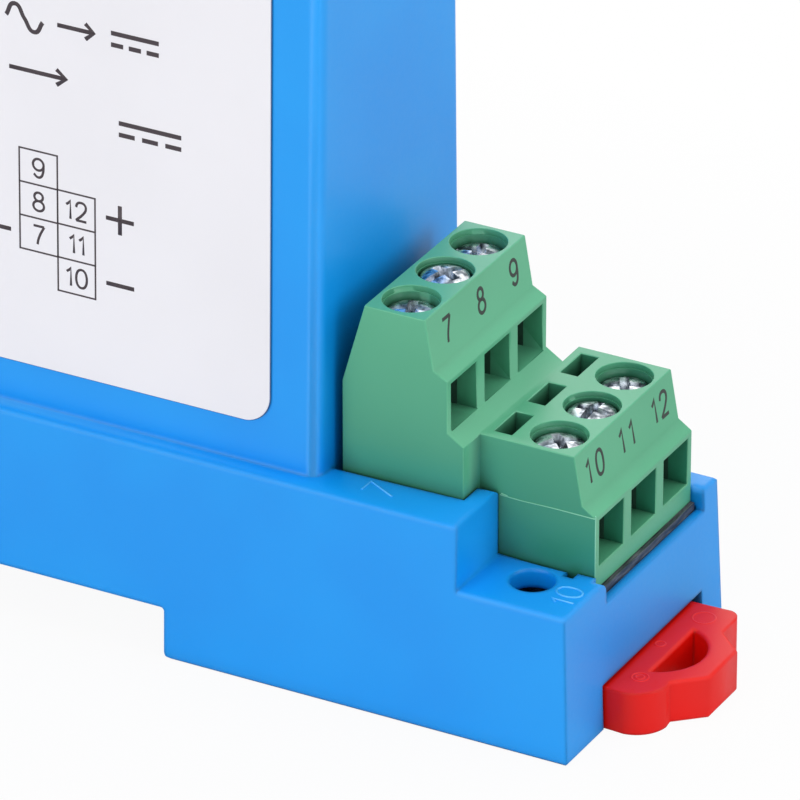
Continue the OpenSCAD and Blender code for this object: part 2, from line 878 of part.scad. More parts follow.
module rail_clip() {
    half = clip_w / 2;
    lip_z = -flange_gap - 0.1;
    tip_x = rail_w / 2 - rail_grip;
    color(red)
    translate([0, clip_y, 0]) difference() {
        union() {
            translate([base_half, 0, clip_z0]) linear_extrude(clip_t) clip_head_profile();
            block([head_x0, -half, clip_z0], [base_half, half, clip_z1]);
            block([stem_x0, -stem_half, clip_z0], [head_x0, stem_half, clip_z1]);
            block([flange_x0, -half, clip_z1 - flange_t], [flange_x1, half, clip_z1]);
            block([tip_x, -tongue_half, clip_z0], [stem_x0, tongue_half, lip_z]);
        }
        translate([tip_x, 0, clip_z0]) rotate([0, 45, 0])
            cube([1.8, 4 * tongue_half, 1.8], center = true);
        block([window_x0, -window_half, clip_z0 - cut], [window_x1, window_half, clip_z1 + cut]);
    }
}

// A coil spring between the clip's window and the peg on the cover
function spring_point(a, r, l, turns) = [l * a / (360 * turns), r * cos(a), r * sin(a)];

module clip_spring() {
    wire_r = 0.22;
    coil_r = 1.25;
    turns = 6;
    steps = 12;
    sides = 6;
    length = spring_peg_x - window_x0 - 2 * wire_r - 0.1;
    rings = turns * steps;
    points = [
        for (i = [0:rings])
            let (a = 360 * i / steps, c = spring_point(a, coil_r, length, turns))
            for (k = [0:sides - 1])
                let (b = 360 * k / sides)
                [
                    c[0] + wire_r * sin(b),
                    c[1] + wire_r * cos(b) * cos(a),
                    c[2] + wire_r * cos(b) * sin(a)
                ]
    ];
    sides_faces = [
        for (i = [0:rings - 1])
            for (k = [0:sides - 1])
                let (n = (k + 1) % sides)
                [i * sides + k, (i + 1) * sides + k, (i + 1) * sides + n, i * sides + n]
    ];
    caps = [
        [for (k = [0:sides - 1]) k],
        [for (k = [sides - 1:-1:0]) rings * sides + k]
    ];
    color(steel)
    translate([window_x0 + wire_r + 0.05, clip_y, (clip_z0 + clip_z1) / 2])
        polyhedron(points = points, faces = concat(sides_faces, caps));
}

housing();
bottom_cover();
cover_screws();
label_plate();
at_block() terminal_block();  // terminal_block_right
at_left() terminal_block();  // terminal_block_left
at_block() upper_screws();  // upper_screws_right
at_block() lower_screws();  // lower_screws_right
at_left() upper_screws();  // upper_screws_left
at_left() lower_screws();  // lower_screws_left
at_block() upper_clamps();  // upper_clamps_right
at_block() lower_clamps();  // lower_clamps_right
at_left() upper_clamps();  // upper_clamps_left
at_left() lower_clamps();  // lower_clamps_left
at_block() contact_pins();  // contact_pins_right
at_left() contact_pins();  // contact_pins_left
terminal_board();
signal_board();
board_header();
input_transformer();
isolation_transformer();
power_converter();
filter_capacitors();
signal_chips();
calibration_trimmers();
input_resistors();
rail_clip();
clip_spring();
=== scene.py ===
import math

import bmesh
import bpy
from bpy.props import FloatProperty, FloatVectorProperty, PointerProperty
from mathutils import Matrix, Vector


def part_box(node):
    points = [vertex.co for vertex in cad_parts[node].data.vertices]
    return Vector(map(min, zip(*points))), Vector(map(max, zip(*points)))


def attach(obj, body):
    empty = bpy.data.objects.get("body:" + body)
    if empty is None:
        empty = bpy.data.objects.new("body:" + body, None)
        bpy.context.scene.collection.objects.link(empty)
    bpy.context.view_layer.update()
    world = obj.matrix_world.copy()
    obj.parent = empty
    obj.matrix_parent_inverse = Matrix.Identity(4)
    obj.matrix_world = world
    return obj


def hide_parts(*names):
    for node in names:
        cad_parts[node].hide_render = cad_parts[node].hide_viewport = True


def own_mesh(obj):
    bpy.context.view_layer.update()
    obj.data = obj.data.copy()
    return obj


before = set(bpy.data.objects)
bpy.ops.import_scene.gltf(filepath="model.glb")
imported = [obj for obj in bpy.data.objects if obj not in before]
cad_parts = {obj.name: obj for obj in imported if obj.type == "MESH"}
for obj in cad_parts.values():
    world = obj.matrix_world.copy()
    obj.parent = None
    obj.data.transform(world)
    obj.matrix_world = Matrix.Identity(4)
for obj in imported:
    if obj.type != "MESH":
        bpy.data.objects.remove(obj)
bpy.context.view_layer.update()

bl_info = {
    "name": "Rail-mounted Transmitter",
    "version": (1, 0, 0),
    "blender": (4, 5, 0),
    "location": "View3D > Sidebar > Transmitter",
    "description": "Finishes the rail-mounted transmitter's moulded parts, screws, label and boards",
    "category": "Object",
}

# Lengths are in metres, and points nearer to each other than MERGE become one
MM = 0.001
MERGE = 1e-6
ENDS = ("right", "left")
POLES = (-1, 0, 1)
FLOOR_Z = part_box("housing")[0].z
BLOCK_LOW, BLOCK_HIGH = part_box("terminal_block_right")
LABEL_LOW, LABEL_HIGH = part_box("label_plate")
CLIP_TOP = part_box("rail_clip")[1].z
INK_HEIGHT = 0.012 * MM

# The terminal block: its poles, its lower deck and the middles of its wire entries
PITCH = 5.08 * MM
BLOCK_WIDTH = 3 * PITCH
UPPER_POLE_Y = BLOCK_LOW.y + BLOCK_WIDTH / 2
LOWER_POLE_Y = BLOCK_HIGH.y - BLOCK_WIDTH / 2
DECK_DROP = 9.42 * MM
DECK_SETBACK = 10.6 * MM
ENTRY_W, ENTRY_H = 3.86 * MM, 3.75 * MM
LOWER_ENTRY_Z, UPPER_ENTRY_Z = 10 * MM, 19.49 * MM

# The ledges: the block's foot stands a little below the lower one
SEAT_DEPTH = 1.2 * MM
LEDGE_STEP = 5.15 * MM
LOWER_LEDGE = BLOCK_LOW.z + SEAT_DEPTH
UPPER_LEDGE = LOWER_LEDGE + LEDGE_STEP

# How a CAD node's edges are told apart: their turns in degrees, their lengths in metres
FLAT_TURN = 0.4
SHARP_TURN = 28
CORNER_TURN = 62
SQUARE_SLACK = 10
SHORT_EDGE = 0.35 * MM
LONG_EDGE = 3 * MM
NEAR_EDGE = 0.3 * MM
LEVEL_SLACK = 0.01 * MM

# What the materials share: features per metre, depths and distances in metres, and rays
CLOUDS = 70
CLOUD_RANGE = (0.35, 0.65)
MOTTLE = 240
FIBRES = 5200
FIBRE_DEPTH = 0.05 * MM
DRAWN_MARKS = 900
GRAIN_DEPTH = 0.02 * MM
# The painted shade in holes and inner corners: how far the occlusion looks, the range it maps, how
# dark it gets, and its rays
PAINTED_SHADE_REACH = 2.4 * MM
PAINTED_SHADE_RANGE = (0.1, 0.78)
PAINTED_SHADE_DARKNESS = 0.12
PAINTED_SHADE_RAYS = 8
EDGE_RAYS = 6

# The camera as fitted to the photograph, in metres and degrees, and where the lamps aim
CAMERA_PLACE = (0.29309, -0.48507, 0.30761)
CAMERA_DIP = 27.985
CAMERA_TURN = 28.397
LAMP_AIM = Vector((0.02, 0, 0.03))

# Strokes of the digits in a cell one wide and one high
DIGITS = {
    "0": (("loop", ((0.5, 1), (1, 0.5), (0.5, 0), (0, 0.5))),),
    "1": (("line", ((0, 0.75), (0.6, 0.86), (1, 1), (1, 0))),),
    "2": (
        ("arc", ((0.03, 0.72), (0.18, 0.93), (0.5, 1), (0.86, 0.91), (0.95, 0.7), (0.75, 0.45),
                 (0.02, 0))),
        ("line", ((0.02, 0), (1, 0))),
    ),
    "3": (
        ("arc", ((0.04, 0.8), (0.24, 0.97), (0.55, 1), (0.9, 0.87), (0.86, 0.62), (0.42, 0.53))),
        ("arc", ((0.42, 0.53), (0.85, 0.47), (1, 0.25), (0.82, 0.05), (0.45, 0), (0, 0.2))),
    ),
    "4": (("line", ((0.76, 0), (0.76, 1), (0, 0.3), (1, 0.3))),),
    "5": (
        ("line", ((0.92, 1), (0.2, 1), (0.08, 0.5))),
        ("arc", ((0.08, 0.5), (0.45, 0.63), (0.9, 0.52), (0.98, 0.25), (0.7, 0.02), (0, 0.18))),
    ),
    "6": (
        ("loop", ((0.5, 0.62), (1, 0.31), (0.5, 0), (0, 0.31))),
        ("arc", ((0, 0.31), (0.06, 0.7), (0.25, 0.94), (0.55, 1), (0.93, 0.84))),
    ),
    "7": (("line", ((0, 1), (1, 1))), ("arc", ((1, 1), (0.64, 0.58), (0.44, 0.26), (0.36, 0)))),
    "8": (
        ("loop", ((0.5, 1), (0.9, 0.77), (0.5, 0.54), (0.1, 0.77))),
        ("loop", ((0.5, 0.54), (1, 0.27), (0.5, 0), (0, 0.27))),
    ),
    "9": (
        ("loop", ((0.5, 1), (1, 0.69), (0.5, 0.38), (0, 0.69))),
        ("arc", ((1, 0.69), (0.94, 0.3), (0.75, 0.06), (0.45, 0), (0.07, 0.16))),
    ),
}


def linear(colour):
    """A colour in 0 to 255 screen values, as the linear values that a material takes."""
    steps = [c / 255 for c in colour]
    return tuple(s / 12.92 if s <= 0.04045 else ((s + 0.055) / 1.055) ** 2.4 for s in steps)


# Property groups


class HousingSettings(bpy.types.PropertyGroup):
    """Radii and blues of the housing, and its raised ledge numbers"""
    corner: FloatProperty(
        name="Corner", description="Radius of the housing's long, square outer edges",
        default=0.3 * MM, unit="LENGTH", precision=5,
    )
    edge: FloatProperty(
        name="Edge", description="Radius over which the plastic shades its other edges softly",
        default=0.5 * MM, unit="LENGTH", precision=5,
    )
    colour: FloatVectorProperty(
        name="Blue", description="Colour of the housing", size=3, subtype="COLOR",
        default=linear((4, 158, 245)),
    )
    deep: FloatVectorProperty(
        name="Deep blue", description="Second shade, in slow clouds over the housing", size=3,
        subtype="COLOR", default=linear((2, 150, 240)),
    )
    # The number blue is a painted highlight on the raised numbers' edges
    number: FloatVectorProperty(
        name="Number blue", description="Colour of the raised numbers' worn edges", size=3,
        subtype="COLOR", default=linear((110, 202, 255)),
    )
    number_stroke: FloatProperty(
        name="Number stroke", description="Width of the raised numbers' strokes",
        default=0.18 * MM, unit="LENGTH", precision=5,
    )
    number_relief: FloatProperty(
        name="Number relief", description="How far the ledge numbers stand out",
        default=0.09 * MM, unit="LENGTH", precision=6,
    )


class TerminalSettings(bpy.types.PropertyGroup):
    """Radii and greens of the terminal blocks, and their printed numbers"""
    edge: FloatProperty(
        name="Edge", description="Radius that softens the terminal blocks' edges",
        default=0.1 * MM, unit="LENGTH", precision=5,
    )
    rim: FloatProperty(
        name="Rim", description="Radius that softens the round rims in the decks",
        default=0.06 * MM, unit="LENGTH", precision=5,
    )
    colour: FloatVectorProperty(
        name="Green", description="Colour of the terminal blocks", size=3, subtype="COLOR",
        default=linear((92, 178, 138)),
    )
    deep: FloatVectorProperty(
        name="Deep green", description="Second shade, in slow clouds over the blocks", size=3,
        subtype="COLOR", default=linear((84, 170, 130)),
    )
    # The foot green is painted shade, darker towards the foot of the blocks' near side walls
    foot: FloatVectorProperty(
        name="Foot green", description="Shade at the foot of the blocks' side walls", size=3,
        subtype="COLOR", default=linear((40, 132, 104)),
    )
    # The entry shadow colour is painted shadow, on dark sheets in the wire entries
    gap: FloatVectorProperty(
        name="Entry shadow", description="Colour of the dark guards in the wire entries", size=3,
        subtype="COLOR", default=linear((26, 66, 52)),
    )
    # The seams are real ridges. Their paler green is partly a painted highlight, and down the front
    # corner it paints the corner's bright edge
    seam: FloatVectorProperty(
        name="Seam", description="Colour of the thin mould seams", size=3, subtype="COLOR",
        default=linear((150, 216, 184)),
    )
    digit_height: FloatProperty(
        name="Number height", description="Height of the printed numbers' centre lines",
        default=1.86 * MM, unit="LENGTH", precision=5,
    )
    digit_place: FloatProperty(
        name="Number place", description="Distance of the numbers' middle down the slope",
        default=1.92 * MM, unit="LENGTH", precision=5,
    )
    digit_stroke: FloatProperty(
        name="Number stroke", description="Width of the printed numbers' strokes",
        default=0.29 * MM, unit="LENGTH", precision=5,
    )
    ink: FloatVectorProperty(
        name="Ink", description="Colour of the printed terminal numbers", size=3,
        subtype="COLOR", default=linear((38, 48, 44)),
    )


class ScrewSettings(bpy.types.PropertyGroup):
    """Slots and zinc of the terminal screws"""
    slot: FloatProperty(
        name="Slot width", description="Width of the long slot across a screw head",
        default=0.8 * MM, unit="LENGTH", precision=5,
    )
    depth: FloatProperty(
        name="Slot depth", description="Depth of the long slot",
        default=0.6 * MM, unit="LENGTH", precision=5,
    )
    colour: FloatVectorProperty(
        name="Zinc", description="Colour of the bright zinc plate", size=3, subtype="COLOR",
        default=linear((236, 240, 246)),
    )
    stain: FloatVectorProperty(
        name="Dull zinc", description="Darker spots of the plate", size=3, subtype="COLOR",
        default=linear((96, 104, 112)),
    )


class LabelSettings(bpy.types.PropertyGroup):
    """Film, ink and stroke widths of the label"""
    corner: FloatProperty(
        name="Corner", description="Radius that softens the film's edges",
        default=0.05 * MM, unit="LENGTH", precision=5,
    )
    film: FloatVectorProperty(
        name="Film", description="Colour of the label film", size=3, subtype="COLOR",
        default=linear((239, 238, 243)),
    )
    ink: FloatVectorProperty(
        name="Ink", description="Colour of the label's print", size=3, subtype="COLOR",
        default=linear((60, 50, 56)),
    )
    line: FloatProperty(
        name="Line", description="Width of the lines round the terminal table",
        default=0.13 * MM, unit="LENGTH", precision=5,
    )
    stroke: FloatProperty(
        name="Number stroke", description="Width of the printed numbers' strokes",
        default=0.2 * MM, unit="LENGTH", precision=5,
    )
    sign: FloatProperty(
        name="Sign stroke", description="Width of the arrows', the wave's and the signs' strokes",
        default=0.34 * MM, unit="LENGTH", precision=5,
    )
    shadow: FloatVectorProperty(
        name="Edge shadow", description="Colour of the shadow line round the film", size=3,
        subtype="COLOR", default=linear((46, 84, 128)),
    )


class ClipSettings(bpy.types.PropertyGroup):
    """Radii, reds and ejector rings of the rail clip"""
    edge: FloatProperty(
        name="Edge", description="Radius that softens the rail clip's edges",
        default=0.22 * MM, unit="LENGTH", precision=5,
    )
    fillet: FloatProperty(
        name="Fillet", description="Radius over which the plastic shades its corners softly",
        default=0.35 * MM, unit="LENGTH", precision=5,
    )
    colour: FloatVectorProperty(
        name="Red", description="Colour of the rail clip", size=3, subtype="COLOR",
        default=linear((244, 20, 10)),
    )
    mark: FloatProperty(
        name="Ejector ring", description="Radius of the outer ring on the clip's near end",
        default=0.62 * MM, unit="LENGTH", precision=5,
    )
    mark_colour: FloatVectorProperty(
        name="Mark red", description="Paler red of the ejector rings", size=3,
        subtype="COLOR", default=linear((240, 44, 36)),
    )


class StageSettings(bpy.types.PropertyGroup):
    """Lens, floor and even light of the stage"""
    lens: FloatProperty(
        name="Lens", description="Focal length of the camera in millimetres", default=389.1,
        unit="CAMERA",
    )
    floor: FloatProperty(
        name="Floor", description="Half the floor's width", default=1.5, unit="LENGTH",
    )
    world: FloatProperty(
        name="World light", description="Strength of the even light from all sides",
        default=0.5,
    )


# Meshes and pieces


def mesh_from(bm, name):
    """Writes a bmesh to a new mesh and frees it."""
    mesh = bpy.data.meshes.new(name)
    bm.to_mesh(mesh)
    bm.free()
    return mesh


def piece_from(bm, name):
    """Writes a bmesh to a new piece at the origin and frees it."""
    piece = bpy.data.objects.new(name, mesh_from(bm, name))
    bpy.context.scene.collection.objects.link(piece)
    return piece


def finished(piece, body, material):
    """Gives a finished piece its material and its CAD body."""
    piece.data.materials.clear()
    piece.data.materials.append(material)
    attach(piece, body)


def smooth(piece, angle=40):
    """Smooth shading that keeps flat faces flat and edges above the angle sharp."""
    piece.data.shade_smooth()
    piece.data.set_sharp_from_angle(angle=math.radians(angle))
    weighted = piece.modifiers.new("flat faces", "WEIGHTED_NORMAL")
    weighted.keep_sharp = True
    weighted.weight = 80
    return piece


def applied(piece):
    """Applies a piece's modifiers to its mesh."""
    shaped = bpy.data.meshes.new_from_object(
        piece.evaluated_get(bpy.context.evaluated_depsgraph_get())
    )
    piece.modifiers.clear()
    rough = piece.data
    piece.data = shaped
    bpy.data.meshes.remove(rough)
    shaped.name = piece.name
    return piece


def merged(node):
    """A bmesh of a CAD node with its triangles merged into flat faces."""
    bm = bmesh.new()
    bm.from_mesh(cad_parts[node].data)
    bmesh.ops.remove_doubles(bm, verts=bm.verts, dist=MERGE)
    bmesh.ops.dissolve_limit(
        bm, angle_limit=math.radians(FLAT_TURN), verts=bm.verts, edges=bm.edges,
    )
    bmesh.ops.recalc_face_normals(bm, faces=bm.faces)
    return bm


def softened(node, name, outer, bevel=0.0, rim=0.0, levels=()):
    """A merged copy of a CAD node with its outer edges rounded.

    Outer corners and the two edges of a CAD bevel each get a radius of their own, and so do
    the round rims at the given levels. Other short edges stay as they are.
    """
    bm = merged(node)
    widest = max(outer, bevel, rim)
    weight = bm.edges.layers.float.new("bevel_weight_edge")
    for edge in bm.edges:
        turn = math.degrees(edge.calc_face_angle(0))
        height = edge.verts[0].co.z
        level = abs(edge.verts[1].co.z - height) < MERGE
        at_level = level and any(abs(height - z) < LEVEL_SLACK for z in levels)
        if turn < SHARP_TURN or not edge.is_convex:
            width = 0
        elif edge.calc_length() < SHORT_EDGE:
            width = rim if at_level else 0
        else:
            width = outer if turn > CORNER_TURN else bevel
        edge[weight] = width / widest
    piece = piece_from(bm, name)
    round_edges = piece.modifiers.new("round edges", "BEVEL")
    round_edges.limit_method = "WEIGHT"
    round_edges.width = widest
    round_edges.segments = 3
    round_edges.profile = 0.5
    round_edges.use_clamp_overlap = False
    return smooth(applied(piece))


def rounded(node, name, radius):
    """A merged copy of a CAD node whose long, square outer edges are rounded.

    An edge with a short neighbour at either end stays sharp, since its rounding would fold.
    """
    bm = merged(node)
    chosen = [
        edge for edge in bm.edges
        if edge.is_convex and abs(math.degrees(edge.calc_face_angle(0)) - 90) < SQUARE_SLACK
        and edge.calc_length() > LONG_EDGE
        and min(near.calc_length() for v in edge.verts for near in v.link_edges) > NEAR_EDGE
    ]
    bmesh.ops.bevel(
        bm, geom=chosen, offset=radius, offset_type="OFFSET", segments=3, profile=0.5,
        affect="EDGES", clamp_overlap=False, material=-1, loop_slide=True,
    )
    bmesh.ops.recalc_face_normals(bm, faces=bm.faces)
    return smooth(piece_from(bm, name))


def cuboid(low, high):
    """A bmesh of a cuboid between two corners."""
    bm = bmesh.new()
    bmesh.ops.create_cube(bm, size=1)
    low, high = Vector(low), Vector(high)
    bmesh.ops.scale(bm, verts=bm.verts, vec=high - low)
    bmesh.ops.translate(bm, verts=bm.verts, vec=(low + high) / 2)
    return bm


def laid(bm, origin, right, up):
    """Lays a bmesh of the XY plane on a face, from its origin and its two directions."""
    right, up = Vector(right).normalized(), Vector(up).normalized()
    turn = Matrix((right, up, right.cross(up))).transposed().to_4x4()
    bmesh.ops.transform(bm, verts=bm.verts, matrix=Matrix.Translation(Vector(origin)) @ turn)
    return bm


def digit(text, x, y, width, height):
    """The strokes of a digit in a cell with this lower left corner and size."""
    return [
        (kind, [(x + width * across, y + height * up) for across, up in points])
        for kind, points in DIGITS[text]
    ]


def scaled(paths):
    """Paths given in millimetres, in metres."""
    return [(kind, [(x * MM, y * MM) for x, y in points]) for kind, points in paths]


def strokes(name, paths, thick, high, origin, right, up):
    """Round strokes on a face, as wide as thick and standing high above it.

    Each path is a line, a smooth arc or a closed loop, and its points lie along right and up.
    """
    curve = bpy.data.curves.new(name, "CURVE")
    curve.dimensions = "3D"
    curve.bevel_depth = thick / 2
    curve.bevel_resolution = 3
    curve.resolution_u = 8
    curve.use_fill_caps = True
    for kind, points in paths:
        straight = kind == "line"
        spline = curve.splines.new("POLY" if straight else "BEZIER")
        knots = spline.points if straight else spline.bezier_points
        knots.add(len(points) - 1)
        for knot, (x, y) in zip(knots, points):
            knot.co = (x, y, 0, 1) if straight else (x, y, 0)
            if not straight:
                knot.handle_left_type = knot.handle_right_type = "AUTO"
        spline.use_cyclic_u = kind == "loop"
    holder = bpy.data.objects.new(name, curve)
    drawn = bpy.data.meshes.new_from_object(holder)
    bpy.data.objects.remove(holder)
    bpy.data.curves.remove(curve)
    bm = bmesh.new()
    bm.from_mesh(drawn)
    bpy.data.meshes.remove(drawn)
    bmesh.ops.remove_doubles(bm, verts=bm.verts, dist=MERGE)
    bmesh.ops.scale(bm, verts=bm.verts, vec=(1, 1, 2 * high / thick))
    bmesh.ops.recalc_face_normals(bm, faces=bm.faces)
    return mesh_from(laid(bm, origin, right, up), name)


def joined(name, meshes, turned=False):
    """One piece from several meshes, and turned half round for the left end if asked."""
    bm = bmesh.new()
    for mesh in meshes:
        bm.from_mesh(mesh)
        bpy.data.meshes.remove(mesh)
    if turned:
        half_round = Matrix.Rotation(math.pi, 3, "Z")
        bmesh.ops.rotate(bm, verts=bm.verts, cent=(0, 0, 0), matrix=half_round)
    return piece_from(bm, name)


# Materials


def nodes_of(name):
    """A new material and what its nodes are built with."""
    material = bpy.data.materials.new(name)
    material.use_nodes = True
    tree = material.node_tree
    shader = tree.nodes["Principled BSDF"]
    place = tree.nodes.new("ShaderNodeTexCoord")
    return material, tree, shader, place.outputs["Object"]


def wired(tree, kind, inputs=None, **settings):
    """A new shader node with its settings and its inputs, each linked or set to a value."""
    node = tree.nodes.new("ShaderNode" + kind)
    for key, value in settings.items():
        setattr(node, key, value)
    for key, value in (inputs or {}).items():
        if isinstance(value, bpy.types.NodeSocket):
            tree.links.new(value, node.inputs[key])
        else:
            node.inputs[key].default_value = value
    return node


def combined(tree, operation, *values):
    """The result of a maths operation on values from nodes or plain numbers."""
    node = wired(tree, "Math", dict(enumerate(values)), operation=operation)
    return node.outputs["Value"]


def noise(tree, place, scale, detail, roughness=0.5, stretch=(1, 1, 1)):
    """A noise texture, its scale in features per metre."""
    mapping = wired(tree, "Mapping", {"Vector": place, "Scale": stretch})
    texture = wired(tree, "TexNoise", {
        "Vector": mapping.outputs["Vector"], "Scale": scale, "Detail": detail,
        "Roughness": roughness,
    })
    return texture.outputs["Fac"]


def ranged(tree, value, low, high, to_low, to_high):
    """Maps a value from one range to another."""
    node = wired(tree, "MapRange", {
        "Value": value, "From Min": low, "From Max": high, "To Min": to_low, "To Max": to_high,
    })
    return node.outputs["Result"]


def mixed(tree, factor, first, second):
    """Mixes two colours by a factor."""
    first, second = [
        c if isinstance(c, bpy.types.NodeSocket) else (*c[:3], 1) for c in (first, second)
    ]
    node = wired(tree, "Mix", {"Factor": factor, "A": first, "B": second}, data_type="RGBA")
    return node.outputs["Result"]


def bumped(tree, shader, height, strength, distance, edge=0.0):
    """A bump from a height, in metres, over edges that look rounded by a radius."""
    inputs = {"Height": height, "Strength": strength, "Distance": distance}
    if edge:
        soft = wired(tree, "Bevel", {"Radius": edge}, samples=EDGE_RAYS)
        inputs["Normal"] = soft.outputs["Normal"]
    bump = wired(tree, "Bump", inputs)
    tree.links.new(bump.outputs["Normal"], shader.inputs["Normal"])


def painted_occlusion(tree, base, deep, shade_in_hollows):
    """Paints shade into holes and inner corners from ambient occlusion, darkening a colour up to a
    share.
    """
    occlusion_node = wired(tree, "AmbientOcclusion", {"Distance": PAINTED_SHADE_REACH}, samples=PAINTED_SHADE_RAYS)
    closed = ranged(tree, occlusion_node.outputs["AO"], *PAINTED_SHADE_RANGE, shade_in_hollows, 0)
    return mixed(tree, closed, base, tuple(c * PAINTED_SHADE_DARKNESS for c in deep))


def walls(tree, place):
    """Mask of painted shade: 1 at the foot of the upright side walls facing -Y, falling to 0 at
    their top and on all else.
    """
    height = wired(tree, "SeparateXYZ", {"Vector": place}).outputs["Z"]
    facing = wired(tree, "NewGeometry").outputs["Normal"]
    across = wired(tree, "SeparateXYZ", {"Vector": facing}).outputs["Y"]
    low = ranged(tree, height, BLOCK_LOW.z, BLOCK_HIGH.z, 1, 0)
    return combined(tree, "MULTIPLY", low, ranged(tree, across, -0.5, -1, 0, 1))


def moulded(
    name, colour, deep=None, *, gloss, grain=2600, relief=0.12, foot=None, edge=0.0,
    sheen=0.5, shade_in_hollows=0.0,
):
    """Moulded plastic: slow clouds of a deeper shade, spark-eroded grain and mixed gloss.

    Without the deeper shade it has one even colour, as ink has. A foot colour paints shade on
    the side walls towards the part's foot, an edge radius softens its edges, the sheen is the
    strength of its reflection, and the hollow share paints shade into its holes and inner corners.
    """
    material, tree, shader, place = nodes_of(name)
    if deep is None:
        shader.inputs["Base Color"].default_value = (*colour, 1)
    else:
        clouds = ranged(tree, noise(tree, place, CLOUDS, 2), *CLOUD_RANGE, 0, 1)
        base = mixed(tree, clouds, colour, deep)
        # Painted shade: the side walls darken towards the part's foot
        if foot:
            base = mixed(tree, walls(tree, place), base, foot)
        # Painted shade in holes and inner corners, from ambient occlusion
        if shade_in_hollows:
            base = painted_occlusion(tree, base, deep, shade_in_hollows)
        tree.links.new(base, shader.inputs["Base Color"])
    fine = noise(tree, place, grain, 3, 0.6)
    uneven = combined(tree, "MULTIPLY_ADD", noise(tree, place, MOTTLE, 2), 0.5, fine)
    tree.links.new(ranged(tree, uneven, 0.4, 1.1, *gloss), shader.inputs["Roughness"])
    shader.inputs["IOR"].default_value = 1.5
    shader.inputs["Specular IOR Level"].default_value = sheen
    bumped(tree, shader, fine, relief, GRAIN_DEPTH, edge)
    return material


def laminate(name, colour, fibre):
    """Board laminate: glass fibres run along Y through the dark resin."""
    material, tree, shader, place = nodes_of(name)
    fibres = noise(tree, place, FIBRES, 4, 0.7, (1, 0.09, 1))
    shade = mixed(tree, ranged(tree, fibres, 0.42, 0.68, 0, 1), colour, fibre)
    tree.links.new(shade, shader.inputs["Base Color"])
    tree.links.new(ranged(tree, fibres, 0.3, 0.7, 0.35, 0.6), shader.inputs["Roughness"])
    bumped(tree, shader, fibres, 0.6, FIBRE_DEPTH)
    return material


def plated(name, colour, gloss, stretch=(1, 1, 1), relief=0.1, stain=None, spots=380):
    """Plated metal with drawn marks and uneven brightness, its spots per metre given."""
    material, tree, shader, place = nodes_of(name)
    marks = noise(tree, place, DRAWN_MARKS, 4, 0.6, stretch)
    clouds = ranged(tree, noise(tree, place, spots, 2), 0.4, 0.62, 0, 1)
    shade = stain or tuple(c * 0.8 for c in colour)
    tree.links.new(mixed(tree, clouds, colour, shade), shader.inputs["Base Color"])
    tree.links.new(ranged(tree, marks, 0.3, 0.7, *gloss), shader.inputs["Roughness"])
    shader.inputs["Metallic"].default_value = 1
    bumped(tree, shader, marks, relief, GRAIN_DEPTH)
    return material


# Operators


